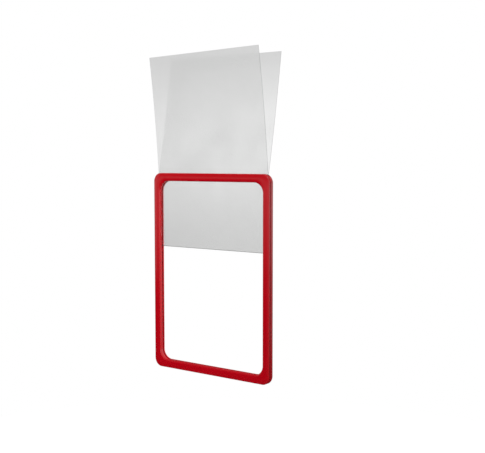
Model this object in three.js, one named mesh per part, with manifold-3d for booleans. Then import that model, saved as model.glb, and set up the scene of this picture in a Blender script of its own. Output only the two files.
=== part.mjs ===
// Upright card frame for one A4 sheet. A moulded red frame has a channel round the inside of its
// window and a slot along its top edge. A clear folded pocket for the sheet is pushed part of the
// way down through the slot, and its two leaves fan apart above the frame.
// Millimetres. X runs along the width, +Y towards the back and +Z up. The origin is on the flat
// back of the frame, in the middle of the bottom bar.
import * as THREE from "three";
import { mergeVertices } from "three/addons/utils/BufferGeometryUtils.js";
import Module from "manifold-3d";

const wasm = await Module();
wasm.setup();

// Frame
const frameWidth = 222;
const frameHeight = 309;
const barWidth = 12.4;
const frontPlate = 5; // at the top of the crown
const backPlate = 2.4;
const slotGap = 2.6; // between the two plates
const outerCorner = 13; // radius of the frame's corners
const windowCorner = 16; // radius of the window's corners
const crownRise = 0.6; // how far the bar's front bulges
const outerRound = 1.2; // rounding of the front face towards the outside
const windowRound = 1.8; // and towards the window
const backRound = 0.8; // rounding of both back edges
const grooveLip = 0.3; // flat of the outer edge in front of the clip groove
const grooveWidth = 1.8;
const grooveDepth = 1.4;
const webThickness = 2.8; // between the groove and the channel
const channelCorner = 5; // radius of the channel's corners

// Pocket
const pocketWidth = 210;
const filmThickness = 0.4;
const foldRadius = 0.5; // to the middle of the film
const slotClearance = 0.3; // between each leaf and its lip of the slot
const insertedDepth = 115.6; // from the frame's top edge down to the fold
const exposedLength = 181.4; // from the frame's top edge to the leaves' free edges
const frontLeaf = { lean: 0.082, curve: 0.00012, twist: 0.0117, turn: 0.0152 };
const backLeaf = { lean: 0.2, curve: -0.00017, twist: 0, turn: -0.0044 };

// Number of flats that stand for a curve
const cornerSteps = 8;
const roundSteps = 4;
const crownSteps = 6;
const backRoundSteps = 2;
const foldSteps = 8;
const bendSteps = 4;
const leafSteps = 8;
const widthSteps = 8;

// Places that follow from the sizes
const thickness = frontPlate + slotGap + backPlate;
const backLip = -backPlate;
const frontLip = -backPlate - slotGap;
const slotCentre = (backLip + frontLip) / 2;
const channelInset = grooveDepth + webThickness;
const grooveFront = crownRise + outerRound + grooveLip - thickness;
const grooveBack = grooveFront + grooveWidth;
const bottomEdge = -barWidth / 2;
const topEdge = bottomEdge + frameHeight;
const frameMiddle = (bottomEdge + topEdge) / 2;
const foldLevel = topEdge - insertedDepth;

const redPlastic = new THREE.MeshStandardMaterial({ color: 0xb00f1a, roughness: 0.28, metalness: 0 });
const clearFilm = new THREE.MeshStandardMaterial({
  color: 0xdcdedd,
  roughness: 0.08,
  metalness: 0,
  transparent: true,
  opacity: 0.3,
});

// Manifold solids and back

function toSolid(geometry) {
  const bare = geometry.clone();
  bare.deleteAttribute("normal");
  bare.deleteAttribute("uv");
  const welded = mergeVertices(bare, 1e-4);
  const mesh = new wasm.Mesh({
    numProp: 3,
    vertProperties: new Float32Array(welded.attributes.position.array),
    triVerts: new Uint32Array(welded.index.array),
  });
  return new wasm.Manifold(mesh);
}

function toGeometry(solid) {
  const mesh = solid.getMesh();
  const geometry = new THREE.BufferGeometry();
  geometry.setAttribute("position", new THREE.Float32BufferAttribute(mesh.vertProperties, 3));
  geometry.setIndex(Array.from(mesh.triVerts));
  geometry.computeVertexNormals();
  return geometry;
}

// Frame

// Radius of the corners of the ring that lies a given way in from the outer edge.
function cornerAt(inset) {
  return THREE.MathUtils.lerp(outerCorner, windowCorner, inset / barWidth);
}

// How far a rounded edge falls away, at a given distance into its round.
function roundFall(radius, into) {
  const reach = THREE.MathUtils.clamp(into, 0, radius);
  return radius - Math.sqrt(radius ** 2 - reach ** 2);
}

// How far the front face falls back from the top of its crown, at a given inset.
function frontFall(inset) {
  const acrossBar = (2 * inset) / barWidth - 1;
  const intoWindowRound = inset - (barWidth - windowRound);
  return (
    crownRise * acrossBar ** 2 +
    roundFall(outerRound, outerRound - inset) +
    roundFall(windowRound, intoWindowRound)
  );
}

// The bar's section, as rings that go round it once: each has its inset from the outer edge, its
// depth along Y and the radius of its corners.
function barSection() {
  const rings = [];
  const add = (inset, y, corner = cornerAt(inset)) => rings.push({ inset, y, corner });
  const quarter = (step, steps) => (step / steps) * (Math.PI / 2);
  for (let i = 0; i <= roundSteps; i++) {
    const inset = outerRound * (1 - Math.cos(quarter(i, roundSteps)));
    add(inset, frontFall(inset) - thickness);
  }
  for (let i = 1; i < crownSteps; i++) {
    const inset = THREE.MathUtils.lerp(outerRound, barWidth - windowRound, i / crownSteps);
    add(inset, frontFall(inset) - thickness);
  }
  for (let i = 0; i <= roundSteps; i++) {
    const inset = barWidth - windowRound * (1 - Math.sin(quarter(i, roundSteps)));
    add(inset, frontFall(inset) - thickness);
  }
  add(barWidth, frontLip);
  add(channelInset, frontLip, channelCorner);
  add(channelInset, backLip, channelCorner);
  add(barWidth, backLip);
  for (let i = 0; i <= backRoundSteps; i++) {
    const angle = quarter(i, backRoundSteps);
    add(barWidth - backRound * (1 - Math.cos(angle)), backRound * (Math.sin(angle) - 1));
  }
  for (let i = 0; i <= backRoundSteps; i++) {
    const angle = quarter(i, backRoundSteps);
    add(backRound * (1 - Math.sin(angle)), backRound * (Math.cos(angle) - 1));
  }
  add(0, grooveBack);
  add(grooveDepth, grooveBack, outerCorner - grooveDepth);
  add(grooveDepth, grooveFront, outerCorner - grooveDepth);
  add(0, grooveFront);
  return rings;
}

// A closed bar round the frame: every ring of the section is a rectangle with round corners.
function sweptBar(rings) {
  const positions = [];
  const stations = 4 * (cornerSteps + 1);
  const signs = [
    [1, 1],
    [-1, 1],
    [-1, -1],
    [1, -1],
  ];
  for (const { inset, y, corner } of rings) {
    const centreX = frameWidth / 2 - inset - corner;
    const centreZ = frameHeight / 2 - inset - corner;
    signs.forEach(([signX, signZ], side) => {
      for (let i = 0; i <= cornerSteps; i++) {
        const angle = (side + i / cornerSteps) * (Math.PI / 2);
        const x = signX * centreX + corner * Math.cos(angle);
        const z = signZ * centreZ + corner * Math.sin(angle);
        positions.push(x, y, z + frameMiddle);
      }
    });
  }
  const index = [];
  for (let r = 0; r < rings.length; r++) {
    const nextRing = (r + 1) % rings.length;
    for (let s = 0; s < stations; s++) {
      const nextStation = (s + 1) % stations;
      const a = r * stations + s;
      const b = r * stations + nextStation;
      const c = nextRing * stations + nextStation;
      const d = nextRing * stations + s;
      index.push(a, b, c, a, c, d);
    }
  }
  const geometry = new THREE.BufferGeometry();
  geometry.setAttribute("position", new THREE.Float32BufferAttribute(positions, 3));
  geometry.setIndex(index);
  return geometry;
}

function frameGeometry() {
  const channelWidth = frameWidth - 2 * channelInset;
  const cutHeight = 2 * barWidth; // from the window's top edge to well above the frame
  const slot = new THREE.BoxGeometry(channelWidth, slotGap, cutHeight);
  slot.translate(0, slotCentre, topEdge - barWidth + cutHeight / 2);
  const bar = toSolid(sweptBar(barSection()));
  return toGeometry(bar.subtract(toSolid(slot)));
}

// Pocket

// Middle line of one leaf, from the fold up: away is its distance from the middle of the slot.
// Inside the frame the leaf is straight, it bends in the mouth of the slot, and then it leans out.
function leafLine(leaf) {
  const insideAway = foldRadius;
  const lipAway = slotGap / 2 - slotClearance - filmThickness / 2;
  const bendLength = (2 * (lipAway - insideAway)) / leaf.lean;
  const points = [{ away: insideAway, z: foldLevel + foldRadius + filmThickness / 2 }];
  for (let i = 0; i < bendSteps; i++) {
    const intoBend = (i / bendSteps) * bendLength;
    const away = insideAway + (leaf.lean / (2 * bendLength)) * intoBend ** 2;
    points.push({ away, z: topEdge - bendLength + intoBend });
  }
  for (let i = 0; i <= leafSteps; i++) {
    const along = (i / leafSteps) * exposedLength;
    const away = lipAway + leaf.lean * along + leaf.curve * along ** 2;
    const slope = leaf.lean + leaf.curve * along;
    points.push({ away, z: topEdge + along * Math.sqrt(1 - slope ** 2) });
  }
  return points;
}

// Middle line of the whole film in the YZ plane: down the front leaf, round the fold, up the back.
function filmLine() {
  const front = leafLine(frontLeaf).map(({ away, z }) => new THREE.Vector2(slotCentre - away, z));
  const back = leafLine(backLeaf).map(({ away, z }) => new THREE.Vector2(slotCentre + away, z));
  const fold = [];
  for (let i = 1; i < foldSteps; i++) {
    const angle = Math.PI * (1 + i / foldSteps);
    const y = slotCentre + foldRadius * Math.cos(angle);
    fold.push(new THREE.Vector2(y, front[0].y + foldRadius * Math.sin(angle)));
  }
  return [...front.reverse(), ...fold, ...back];
}

// Outline of the film's section: its middle line moved half a thickness to either side.
function filmSection() {
  const line = filmLine();
  const sides = [-1, 1].map((side) =>
    line.map((point, i) => {
      const before = line[Math.max(0, i - 1)];
      const after = line[Math.min(line.length - 1, i + 1)];
      const along = after.clone().sub(before).normalize();
      const across = new THREE.Vector2(along.y, -along.x);
      return point.clone().addScaledVector(across, (side * filmThickness) / 2);
    }),
  );
  return new THREE.Shape([...sides[0], ...sides[1].reverse()]);
}

// Above the slot each leaf twists a little about its height and turns a little in its own plane.
function loosenLeaf(point) {
  const height = point.z - topEdge;
  if (height <= 0) {
    return;
  }
  const isFront = point.y < slotCentre;
  const leaf = isFront ? frontLeaf : backLeaf;
  const outward = isFront ? -1 : 1;
  const acrossHalf = point.x / (pocketWidth / 2);
  const turned = leaf.turn * (height / exposedLength);
  point.y += outward * leaf.twist * acrossHalf * height;
  point.z += turned * point.x;
  point.x -= turned * height;
}

function pocketGeometry() {
  const geometry = new THREE.ExtrudeGeometry(filmSection(), {
    depth: pocketWidth,
    steps: widthSteps,
    bevelEnabled: false,
  });
  const sectionToFrame = new THREE.Matrix4().makeBasis(
    new THREE.Vector3(0, 1, 0),
    new THREE.Vector3(0, 0, 1),
    new THREE.Vector3(1, 0, 0),
  );
  geometry.applyMatrix4(sectionToFrame);
  geometry.translate(-pocketWidth / 2, 0, 0);
  const position = geometry.attributes.position;
  const point = new THREE.Vector3();
  for (let i = 0; i < position.count; i++) {
    point.fromBufferAttribute(position, i);
    loosenLeaf(point);
    position.setXYZ(i, point.x, point.y, point.z);
  }
  geometry.computeVertexNormals();
  return geometry;
}

function named(name, geometry, material) {
  const mesh = new THREE.Mesh(geometry, material);
  mesh.name = name;
  return mesh;
}

const cardFrame = new THREE.Group();
cardFrame.add(named("red_frame", frameGeometry(), redPlastic));
cardFrame.add(named("clear_pocket", pocketGeometry(), clearFilm));

export default cardFrame;
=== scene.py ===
import math

import bmesh
import bpy
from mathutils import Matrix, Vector


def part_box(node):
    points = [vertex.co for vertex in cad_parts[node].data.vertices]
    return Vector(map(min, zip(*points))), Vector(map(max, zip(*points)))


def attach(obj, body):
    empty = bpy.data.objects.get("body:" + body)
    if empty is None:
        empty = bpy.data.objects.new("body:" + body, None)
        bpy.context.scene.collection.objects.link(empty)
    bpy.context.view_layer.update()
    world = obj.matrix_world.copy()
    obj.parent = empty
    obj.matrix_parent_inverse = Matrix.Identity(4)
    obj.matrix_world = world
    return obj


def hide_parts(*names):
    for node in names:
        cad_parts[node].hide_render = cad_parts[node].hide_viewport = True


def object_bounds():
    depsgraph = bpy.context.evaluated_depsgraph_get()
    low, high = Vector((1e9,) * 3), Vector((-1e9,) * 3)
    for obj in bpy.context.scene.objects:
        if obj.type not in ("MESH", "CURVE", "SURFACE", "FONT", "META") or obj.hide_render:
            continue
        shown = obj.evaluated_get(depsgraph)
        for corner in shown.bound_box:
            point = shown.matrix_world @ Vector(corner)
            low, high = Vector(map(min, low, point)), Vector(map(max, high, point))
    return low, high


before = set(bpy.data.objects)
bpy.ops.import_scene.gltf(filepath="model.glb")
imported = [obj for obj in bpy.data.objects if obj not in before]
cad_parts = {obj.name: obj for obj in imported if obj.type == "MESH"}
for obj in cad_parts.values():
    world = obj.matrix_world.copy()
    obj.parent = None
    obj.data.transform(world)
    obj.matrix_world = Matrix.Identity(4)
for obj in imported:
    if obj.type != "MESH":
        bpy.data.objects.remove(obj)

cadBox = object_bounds()
scene = bpy.context.scene
scene.view_settings.view_transform = "Standard"

# camera, where the photograph was taken from
viewpoint = {
    "turn": 36.136,  # degrees round from straight in front, towards +X
    "lookDown": 4.318,  # degrees below level
    "distance": 1.26211,
    "aim": (0.06262, -0.009, 0.22547),
    "lens": 63.63,
    "sensor": 36.0,
}


def makeCamera(v):
    camera = bpy.data.objects.new("photoCamera", bpy.data.cameras.new("photoCamera"))
    scene.collection.objects.link(camera)
    camera.data.lens = v["lens"]
    camera.data.sensor_width = v["sensor"]
    camera.data.clip_start = 0.01
    turn, down = math.radians(v["turn"]), math.radians(v["lookDown"])
    back = Vector((math.sin(turn) * math.cos(down), -math.cos(turn) * math.cos(down), math.sin(down)))
    camera.location = Vector(v["aim"]) + v["distance"] * back
    camera.rotation_euler = back.to_track_quat("Z", "Y").to_euler()
    scene.camera = camera


makeCamera(viewpoint)
print("camera set")


# small helpers for node materials

def newMaterial(name):
    material = bpy.data.materials.new(name)
    material.use_nodes = True
    nodes, links = material.node_tree.nodes, material.node_tree.links
    return material, nodes, links, nodes["Principled BSDF"]


def noiseAt(nodes, links, scale, detail=3.0):
    noise = nodes.new("ShaderNodeTexNoise")
    noise.inputs["Scale"].default_value = scale
    noise.inputs["Detail"].default_value = detail
    links.new(nodes.new("ShaderNodeTexCoord").outputs["Object"], noise.inputs["Vector"])
    return noise.outputs["Fac"]


def rangeOf(nodes, links, value, low, high, fromLow=0.3, fromHigh=0.7):
    # noise lies mostly between 0.3 and 0.7
    spread = nodes.new("ShaderNodeMapRange")
    spread.inputs["From Min"].default_value = fromLow
    spread.inputs["From Max"].default_value = fromHigh
    spread.inputs["To Min"].default_value = low
    spread.inputs["To Max"].default_value = high
    links.new(value, spread.inputs["Value"])
    return spread.outputs["Result"]


def mixColours(nodes, links, factor, first, second):
    mix = nodes.new("ShaderNodeMix")
    mix.data_type = "RGBA"
    mix.inputs["A"].default_value = (*first, 1)
    mix.inputs["B"].default_value = (*second, 1)
    links.new(factor, mix.inputs["Factor"])
    return mix.outputs["Result"]


def mixValues(nodes, links, factor, first, second):
    mix = nodes.new("ShaderNodeMix")
    links.new(factor, mix.inputs["Factor"])
    links.new(first, mix.inputs["A"])
    links.new(second, mix.inputs["B"])
    return mix.outputs["Result"]


def mathOf(nodes, links, operation, first, second=None):
    step = nodes.new("ShaderNodeMath")
    step.operation = operation
    for socket, value in zip(step.inputs, (first, second)):
        if isinstance(value, (int, float)):
            socket.default_value = value
        elif value is not None:
            links.new(value, socket)
    return step.outputs[0]


def bumpOf(nodes, links, height, strength, distance):
    bump = nodes.new("ShaderNodeBump")
    bump.inputs["Strength"].default_value = strength
    bump.inputs["Distance"].default_value = distance
    links.new(height, bump.inputs["Height"])
    return bump.outputs["Normal"]


# finishes

redPlasticLook = {
    "colour": (0.43, 0.0008, 0.006),
    "paler": (0.44, 0.0013, 0.007),
    "cloudScale": 22,  # soft patches of pigment
    "glossy": 0.1,
    "duller": 0.14,
    "smearScale": 60,  # patches where handling has dulled the gloss
    "grainScale": 2600,
    "grainDetail": 2,
    "grainStrength": 0.002,
    "grainDepth": 0.00001,
}


def makeRedPlastic(look):
    material, nodes, links, shader = newMaterial("redPlastic")
    clouds = rangeOf(nodes, links, noiseAt(nodes, links, look["cloudScale"]), 0, 1)
    colour = mixColours(nodes, links, clouds, look["colour"], look["paler"])
    links.new(colour, shader.inputs["Base Color"])
    smears = noiseAt(nodes, links, look["smearScale"])
    links.new(rangeOf(nodes, links, smears, look["glossy"], look["duller"]), shader.inputs["Roughness"])
    grain = noiseAt(nodes, links, look["grainScale"], look["grainDetail"])
    bump = bumpOf(nodes, links, grain, look["grainStrength"], look["grainDepth"])
    links.new(bump, shader.inputs["Normal"])
    return material


clearFilmLook = {
    "tint": (0.965, 0.967, 0.965),
    "foldPaintedShade": (0.4, 0.405, 0.4),  # painted shade: the fold is tinted dark so it reads as a darker line where the film bends
    "edgePaintedShade": (0.08, 0.083, 0.083),  # painted shade: the cut edges are tinted dark so they read darker than the face
    "smooth": 0.14,
    "scuffed": 0.22,
    "scuffScale": 24,
    "glass": 1.5,  # index of refraction
    "rippleScale": 14,
    "rippleDetail": 1,
    "rippleStrength": 0.1,
    "rippleDepth": 0.0006,
}


def makeClearFilm(name, look, tint):
    material, nodes, links, shader = newMaterial(name)
    shader.inputs["Base Color"].default_value = (*tint, 1)
    shader.inputs["Transmission Weight"].default_value = 1
    shader.inputs["IOR"].default_value = look["glass"]
    scuffs = noiseAt(nodes, links, look["scuffScale"])
    links.new(rangeOf(nodes, links, scuffs, look["smooth"], look["scuffed"]), shader.inputs["Roughness"])
    ripples = noiseAt(nodes, links, look["rippleScale"], look["rippleDetail"])
    bump = bumpOf(nodes, links, ripples, look["rippleStrength"], look["rippleDepth"])
    links.new(bump, shader.inputs["Normal"])
    return material


redPlastic = makeRedPlastic(redPlasticLook)
clearFilm = makeClearFilm("clearFilm", clearFilmLook, clearFilmLook["tint"])
# painted shade: the faces round the fold get a darker tint of the film
foldShadedFilm = makeClearFilm("foldShadedFilm", clearFilmLook, clearFilmLook["foldPaintedShade"])
# painted shade: the cut edges get a nearly black tint of the film
cutEdgeShadedFilm = makeClearFilm("cutEdgeShadedFilm", clearFilmLook, clearFilmLook["edgePaintedShade"])
print("finishes made")


# meshes

def meshObject(name, points, faces, material, sharpFrom=30):
    mesh = bpy.data.meshes.new(name)
    mesh.from_pydata(points, [], faces)
    mesh.materials.append(material)
    made = bpy.data.objects.new(name, mesh)
    scene.collection.objects.link(made)
    finishMesh(mesh, sharpFrom)
    return made


def finishMesh(mesh, sharpFrom):
    soft = bmesh.new()
    soft.from_mesh(mesh)
    bmesh.ops.recalc_face_normals(soft, faces=soft.faces)
    soft.to_mesh(mesh)
    soft.free()
    mesh.shade_smooth()
    mesh.set_sharp_from_angle(angle=math.radians(sharpFrom))


# the frame: one moulded bar swept round the window, with a channel inside it, a groove round
# its outside, and a slot through the top bar
moulding = {
    "bar": 0.0124,
    "frontPlate": 0.005,
    "slotGap": 0.0026,
    "backPlate": 0.0024,
    "outerCorner": 0.013,
    "windowCorner": 0.016,
    "crown": 0.0006,
    "outerRound": 0.0012,
    "windowRound": 0.0018,
    "backRound": 0.0008,
    "grooveLip": 0.0003,  # flat of the outer edge in front of the groove
    "grooveWidth": 0.0018,
    "groove": 0.0014,
    "web": 0.0028,  # between the groove and the channel
    "channelCorner": 0.005,
    "edgeSoft": 0.0002,  # tiny radius on the lips of the groove and the channel
    "cornerSteps": 20,
    "roundSteps": 8,
    "crownSteps": 8,
    "softSteps": 2,
    "sharpFrom": 32,  # degrees between faces that read as an edge
}


def frontFall(m, inset):
    # how far the front has fallen back at a distance in from the outer edge
    across = 2 * inset / m["bar"] - 1
    intoOuter = max(0, m["outerRound"] - inset)
    intoWindow = max(0, inset - (m["bar"] - m["windowRound"]))
    outerDrop = m["outerRound"] - math.sqrt(m["outerRound"] ** 2 - intoOuter ** 2)
    windowDrop = m["windowRound"] - math.sqrt(max(0, m["windowRound"] ** 2 - intoWindow ** 2))
    return m["crown"] * across ** 2 + outerDrop + windowDrop


def softened(path, radius, steps):
    # rounds the marked corners of a closed path of (inset, depth, marked)
    result = []
    for i, (inset, depth, marked) in enumerate(path):
        here = Vector((inset, depth))
        if not marked:
            result.append(here)
            continue
        before = Vector(path[i - 1][:2]) - here
        after = Vector(path[(i + 1) % len(path)][:2]) - here
        start = here + before.normalized() * radius
        end = here + after.normalized() * radius
        for k in range(steps + 1):
            t = k / steps
            result.append(start * (1 - t) ** 2 + here * 2 * t * (1 - t) + end * t ** 2)
    return result


def barSection(m):
    thickness = m["frontPlate"] + m["slotGap"] + m["backPlate"]
    bar = m["bar"]
    turns = [i / m["roundSteps"] * math.pi / 2 for i in range(m["roundSteps"] + 1)]
    # the front face, from the outer edge to the window
    insets = [m["outerRound"] * (1 - math.cos(a)) for a in turns[:-1]]
    crownFrom, crownTo = m["outerRound"], bar - m["windowRound"]
    insets += [crownFrom + (crownTo - crownFrom) * i / m["crownSteps"] for i in range(m["crownSteps"])]
    insets += [bar - m["windowRound"] * (1 - math.sin(a)) for a in turns]
    path = [(inset, frontFall(m, inset) - thickness, False) for inset in insets]
    # the channel that opens into the window
    back, front = -m["backPlate"], -m["backPlate"] - m["slotGap"]
    channel = channelInset(m)
    path += [(bar, front, True), (channel, front, False), (channel, back, False), (bar, back, True)]
    # the back and its rounds
    r = m["backRound"]
    path += [(bar - r * (1 - math.cos(a)), r * (math.sin(a) - 1), False) for a in turns]
    path += [(r * (1 - math.sin(a)), r * (math.cos(a) - 1), False) for a in turns]
    # the groove round the outside
    front = m["crown"] + m["outerRound"] + m["grooveLip"] - thickness
    back = front + m["grooveWidth"]
    path += [(0, back, True), (m["groove"], back, False), (m["groove"], front, False), (0, front, True)]
    return softened(path, m["edgeSoft"], m["softSteps"])


def channelInset(m):
    return m["groove"] + m["web"]


def ringCorner(m, inset):
    # corner radius of the ring at an inset: the channel and the groove have their own
    if math.isclose(inset, channelInset(m), abs_tol=1e-9):
        return m["channelCorner"]
    if math.isclose(inset, m["groove"], abs_tol=1e-9):
        return m["outerCorner"] - m["groove"]
    return m["outerCorner"] + (m["windowCorner"] - m["outerCorner"]) * inset / m["bar"]


def makeFrameMoulding(m, material):
    low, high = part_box("red_frame")
    middle = (low + high) / 2
    halfX, halfZ = (high.x - low.x) / 2, (high.z - low.z) / 2
    section = barSection(m)
    points, faces = [], []
    stations = 4 * (m["cornerSteps"] + 1)
    for inset, depth in section:
        corner = ringCorner(m, inset)
        for side, (sx, sz) in enumerate([(1, 1), (-1, 1), (-1, -1), (1, -1)]):
            for i in range(m["cornerSteps"] + 1):
                angle = (side + i / m["cornerSteps"]) * math.pi / 2
                x = sx * (halfX - inset - corner) + corner * math.cos(angle)
                z = sz * (halfZ - inset - corner) + corner * math.sin(angle)
                points.append((middle.x + x, depth, middle.z + z))
    for r in range(len(section)):
        nextRing = (r + 1) % len(section)
        for s in range(stations):
            nextStation = (s + 1) % stations
            faces.append((
                r * stations + s,
                r * stations + nextStation,
                nextRing * stations + nextStation,
                nextRing * stations + s,
            ))
    made = meshObject("frameMoulding", points, faces, material, m["sharpFrom"])
    cutSlot(m, made, material, halfX - channelInset(m), high.z)
    return made


def cutSlot(m, made, material, halfWidth, top):
    front, back = -m["backPlate"] - m["slotGap"], -m["backPlate"]
    low, high = top - m["bar"], top + m["bar"]
    corners = [(x, y, z) for x in (-halfWidth, halfWidth) for y in (front, back) for z in (low, high)]
    sides = [(0, 1, 3, 2), (4, 6, 7, 5), (0, 4, 5, 1), (2, 3, 7, 6), (0, 2, 6, 4), (1, 5, 7, 3)]
    cutter = meshObject("slotCutter", corners, sides, material, m["sharpFrom"])
    cut = made.modifiers.new("slot", "BOOLEAN")
    cut.operation = "DIFFERENCE"
    cut.solver = "EXACT"
    cut.object = cutter
    depsgraph = bpy.context.evaluated_depsgraph_get()
    slotted = bpy.data.meshes.new_from_object(made.evaluated_get(depsgraph))
    made.modifiers.clear()
    made.data = slotted
    bpy.data.objects.remove(cutter)
    finishMesh(slotted, m["sharpFrom"])


frameMoulding = makeFrameMoulding(moulding, redPlastic)
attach(frameMoulding, "root")
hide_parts("red_frame")
print("frame moulded,", len(frameMoulding.data.polygons), "faces")


# the pocket: one film folded at the bottom, whose leaves fan apart above the slot
pocket = {
    "thickness": 0.0004,
    "fold": 0.0005,  # radius to the middle of the film
    "slack": 0.0003,  # between a leaf and its lip of the slot
    "inserted": 0.1156,  # height below the frame's top edge
    "exposed": 0.1814,
    # each leaf above the slot: its slope away from upright, how that grows with height, its twist
    # about its height and its turn in its own plane
    "front": {"lean": 0.082, "curve": 0.12, "twist": 0.0117, "turn": 0.0152},
    "back": {"lean": 0.2, "curve": -0.17, "twist": 0.0, "turn": -0.0044},
    "width": 0.21,
    "foldSteps": 16,
    "bendSteps": 8,
    "leafSteps": 24,
    "widthSteps": 30,
    "sharpFrom": 40,
}


def leafLine(p, leaf, top, foldAt):
    lip = moulding["slotGap"] / 2 - p["slack"] - p["thickness"] / 2
    bendLength = 2 * (lip - p["fold"]) / leaf["lean"]
    line = [(p["fold"], foldAt)]
    for i in range(p["bendSteps"]):
        into = i / p["bendSteps"] * bendLength
        line.append((p["fold"] + leaf["lean"] / (2 * bendLength) * into ** 2, top - bendLength + into))
    for i in range(p["leafSteps"] + 1):
        along = i / p["leafSteps"] * p["exposed"]
        slope = leaf["lean"] + leaf["curve"] * along
        away = lip + leaf["lean"] * along + leaf["curve"] * along ** 2
        line.append((away, top + along * math.sqrt(1 - slope ** 2)))
    return line


def thickened(line, thickness):
    # a closed outline round a line, down one side of it and back up the other
    sides = []
    for side in (-1, 1):
        edge = []
        for i, point in enumerate(line):
            along = (line[min(len(line) - 1, i + 1)] - line[max(0, i - 1)]).normalized()
            across = Vector((along.y, -along.x))
            edge.append(point + across * side * thickness / 2)
        sides.append(edge)
    return sides[0] + sides[1][::-1]


def makeFilmPocket(p, films):
    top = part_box("red_frame")[1].z
    centre = -moulding["backPlate"] - moulding["slotGap"] / 2
    foldAt = top - p["inserted"] + p["fold"] + p["thickness"] / 2
    front = [Vector((centre - away, z)) for away, z in leafLine(p, p["front"], top, foldAt)]
    back = [Vector((centre + away, z)) for away, z in leafLine(p, p["back"], top, foldAt)]
    bend = [
        Vector((centre + p["fold"] * math.cos(a), foldAt + p["fold"] * math.sin(a)))
        for a in (math.pi * (1 + i / p["foldSteps"]) for i in range(1, p["foldSteps"]))
    ]
    line = front[::-1] + bend + back
    foldFrom, foldTo = len(front) - 1, len(front) + len(bend)
    loop = thickened(line, p["thickness"])
    half, around = len(line), len(loop)
    points, faces = [], []
    for k in range(p["widthSteps"] + 1):
        x = p["width"] * (k / p["widthSteps"] - 0.5)
        points += [loosened(p, x, y, z, top, centre) for y, z in loop]
    kinds = []  # of film on each face: 0 plain, 1 folded, with painted shade, 2 cut edge, with painted shade
    for k in range(p["widthSteps"]):
        for i in range(around):
            j = (i + 1) % around
            faces.append((k * around + i, k * around + j, (k + 1) * around + j, (k + 1) * around + i))
            along = i if i < half else around - 2 - i
            isEnd = i in (half - 1, around - 1)
            kinds.append(2 if isEnd else 1 if foldFrom <= along < foldTo else 0)
    for k in (0, p["widthSteps"]):
        for i in range(half - 1):
            faces.append([k * around + n for n in (i, i + 1, around - 2 - i, around - 1 - i)])
            kinds.append(2)
    made = meshObject("filmPocket", points, faces, films[0], p["sharpFrom"])
    for film in films[1:]:
        made.data.materials.append(film)
    made.data.polygons.foreach_set("material_index", kinds)
    return made


def loosened(p, x, y, z, top, centre):
    # each leaf twists a little about its height and turns a little in its own plane
    height = z - top
    if height <= 0:
        return (x, y, z)
    isFront = y < centre
    leaf = p["front"] if isFront else p["back"]
    outward = -1 if isFront else 1
    turned = leaf["turn"] * height / p["exposed"]
    twisted = y + outward * leaf["twist"] * x / (p["width"] / 2) * height
    return (x - turned * height, twisted, z + turned * x)


filmPocket = makeFilmPocket(pocket, [clearFilm, foldShadedFilm, cutEdgeShadedFilm])
filmPocket.visible_shadow = False
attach(filmPocket, "root")
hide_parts("clear_pocket")
print("pocket folded,", len(filmPocket.data.polygons), "faces")


# studio: a pale floor, a black card, lamps, and the room round them
floorLook = {
    "drop": 0.35,  # below the frame, which hangs on its back
    "radius": 1.1,
    "sides": 96,
    "colour": (0.7, 0.7, 0.7),
    "roughness": 0.7,
    "white": 1.3,
    "throughFilm": 0.8,
    "share": 0.8,  # of that white in what the camera sees
}


def makeFloor(f):
    level = cadBox[0][2] - f["drop"]
    ring = [2 * math.pi * i / f["sides"] for i in range(f["sides"])]
    points = [(f["radius"] * math.cos(a), f["radius"] * math.sin(a), level) for a in ring]
    material, nodes, links, shader = newMaterial("paleFloor")
    shader.inputs["Base Color"].default_value = (*f["colour"], 1)
    shader.inputs["Roughness"].default_value = f["roughness"]
    rays = nodes.new("ShaderNodeLightPath").outputs
    throughFilm = rays["Is Transmission Ray"]
    white = nodes.new("ShaderNodeEmission")
    whiteness = rangeOf(nodes, links, throughFilm, f["white"], f["throughFilm"], 0, 1)
    links.new(whiteness, white.inputs["Strength"])
    seen = mathOf(nodes, links, "MAXIMUM", rays["Is Camera Ray"], throughFilm)
    mix = nodes.new("ShaderNodeMixShader")
    links.new(mathOf(nodes, links, "MULTIPLY", seen, f["share"]), mix.inputs["Fac"])
    links.new(shader.outputs[0], mix.inputs[1])
    links.new(white.outputs[0], mix.inputs[2])
    links.new(mix.outputs[0], nodes["Material Output"].inputs["Surface"])
    floor = meshObject("floor", points, [tuple(range(len(points)))], material)
    floor.visible_glossy = False


# low in front and to the left, it keeps reflections off the bottom bar
blackCard = {
    "left": -0.98,
    "right": -0.28,
    "forward": -0.6,
    "top": 0.03,
    "bottom": -0.47,
}


def makeBlackCard(c):
    corners = [
        (c["left"], c["forward"], c["bottom"]),
        (c["right"], c["forward"], c["bottom"]),
        (c["right"], c["forward"], c["top"]),
        (c["left"], c["forward"], c["top"]),
    ]
    material, nodes, links, shader = newMaterial("blackCard")
    shader.inputs["Base Color"].default_value = (0, 0, 0, 1)
    shader.inputs["Roughness"].default_value = 1
    shader.inputs["Specular IOR Level"].default_value = 0
    card = meshObject("blackFlag", corners, [(0, 1, 2, 3)], material)
    # only gloss sees it
    card.visible_camera = False
    card.visible_diffuse = False
    card.visible_transmission = False
    card.visible_shadow = False


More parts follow.
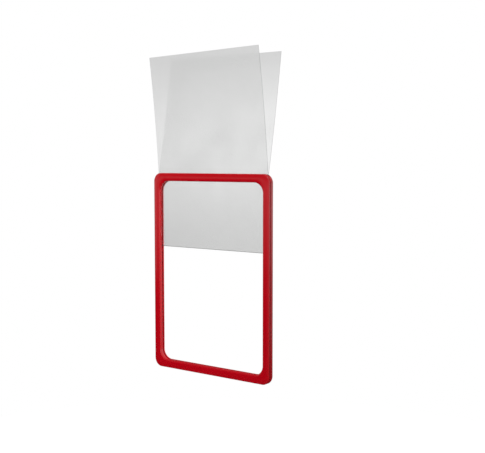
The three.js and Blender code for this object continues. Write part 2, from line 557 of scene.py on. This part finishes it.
# each lamp: its place, what it points at (the middle of the part if nothing is given), its size,
# how far its light spreads in degrees (180 if nothing is given), and whether gloss shows it
lamps = {
    "leftBox": {"at": (-1.04, -0.445, 0.35), "size": (0.76, 0.8), "radiance": 0.5, "glossy": True},
    "keyBox": {"at": (0.15, -0.95, 1.15), "size": (0.7, 0.7), "radiance": 8.9, "glossy": False},
    "backBox": {"at": (0.2, 1.1, 0.9), "size": (0.8, 0.8), "radiance": 7.0, "glossy": False},
    # past the front of the right bar to the inner side of the left one
    "rimStrip": {
        "at": (0.635, -0.163, 0.165),
        "aim": (-0.0986, -0.0075, 0.165),
        "size": (0.04, 0.38),
        "spread": 6,
        "radiance": 0.52,
        "glossy": False,
    },
}


def makeLamp(name, lamp):
    data = bpy.data.lights.new(name, "AREA")
    data.shape = "RECTANGLE"
    data.size, data.size_y = lamp["size"]
    data.energy = lamp["radiance"] * math.pi * data.size * data.size_y
    data.spread = math.radians(lamp.get("spread", 180))
    made = bpy.data.objects.new(name, data)
    scene.collection.objects.link(made)
    made.location = lamp["at"]
    middle = (0, 0, (cadBox[0][2] + cadBox[1][2]) / 2)
    aim = Vector(lamp.get("aim", middle)) - made.location
    made.rotation_euler = aim.to_track_quat("-Z", "Y").to_euler()
    made.visible_camera = False
    made.visible_transmission = False
    made.visible_glossy = lamp["glossy"]


# strengths of the room's light, by the direction looked in: X runs from left to right, and Z is
# the sine of the angle above level
room = {
    "ambientBelow": 0.06,
    "ambientAbove": 0.58,
    "mirroredLow": (0.0, 0.6),  # what gloss mirrors well below eye level, to the left and the right
    "mirroredLevel": (0.48, 1.6),  # at eye level
    "mirroredAbove": (0.1, 1.1),
    "mirroredAcross": (-0.55, 0.4),  # X
    "floorEnds": (-0.27, -0.2),  # Z
    "floorDim": 0.2,
    "levelFrom": (-0.145, -0.035),  # Z
    "aboveFrom": (-0.02, 0.05),  # Z
    "glowHeight": 0.02,  # Z of the glow behind the film
    "glowReach": 0.12,
    "glowLevel": 0.95,
    "glowAway": 0.68,
    "glowFadeSide": (-0.68, -0.6),  # X where the glow fades towards the left
    "glowFaded": 0.89,
}


def makeRoom(r):
    world = bpy.data.worlds.new("studio")
    world.use_nodes = True
    scene.world = world
    nodes, links = world.node_tree.nodes, world.node_tree.links
    rays = nodes.new("ShaderNodeLightPath")
    towards = nodes.new("ShaderNodeSeparateXYZ")
    links.new(nodes.new("ShaderNodeTexCoord").outputs["Generated"], towards.inputs[0])
    across, up = towards.outputs["X"], towards.outputs["Z"]

    def light(strength):
        background = nodes.new("ShaderNodeBackground")
        background.inputs["Color"].default_value = (1, 1, 1, 1)
        if isinstance(strength, (int, float)):
            background.inputs["Strength"].default_value = strength
        else:
            links.new(strength, background.inputs["Strength"])
        return background.outputs[0]

    def choose(ray, other, mine):
        mix = nodes.new("ShaderNodeMixShader")
        links.new(rays.outputs[ray], mix.inputs["Fac"])
        links.new(other, mix.inputs[1])
        links.new(mine, mix.inputs[2])
        return mix.outputs[0]

    # gloss mirrors a room that is brightest at eye level and to the right
    low, level, above = (
        rangeOf(nodes, links, across, *r[part], *r["mirroredAcross"])
        for part in ("mirroredLow", "mirroredLevel", "mirroredAbove")
    )
    mirrored = mixValues(nodes, links, rangeOf(nodes, links, up, 0, 1, *r["levelFrom"]), low, level)
    mirrored = mixValues(nodes, links, rangeOf(nodes, links, up, 0, 1, *r["aboveFrom"]), mirrored, above)
    dim = rangeOf(nodes, links, up, r["floorDim"], 1, *r["floorEnds"])
    mirrored = mathOf(nodes, links, "MULTIPLY", mirrored, dim)
    # the backdrop behind the film has a soft glow near eye level
    away = mathOf(nodes, links, "ABSOLUTE", mathOf(nodes, links, "SUBTRACT", up, r["glowHeight"]))
    glow = rangeOf(nodes, links, away, r["glowLevel"], r["glowAway"], 0.0, r["glowReach"])
    glow.node.interpolation_type = "SMOOTHSTEP"
    side = rangeOf(nodes, links, across, r["glowFaded"], 1, *r["glowFadeSide"])
    through = mathOf(nodes, links, "MULTIPLY", glow, side)
    ambient = rangeOf(nodes, links, up, r["ambientBelow"], r["ambientAbove"], -1, 1)
    shown = choose("Is Glossy Ray", light(ambient), light(mirrored))
    shown = choose("Is Transmission Ray", shown, light(through))
    shown = choose("Is Camera Ray", shown, light(1.0))
    links.new(shown, nodes["World Output"].inputs["Surface"])


makeFloor(floorLook)
makeBlackCard(blackCard)
for lampName, lampLook in lamps.items():
    makeLamp(lampName, lampLook)
makeRoom(room)
print("studio lit")
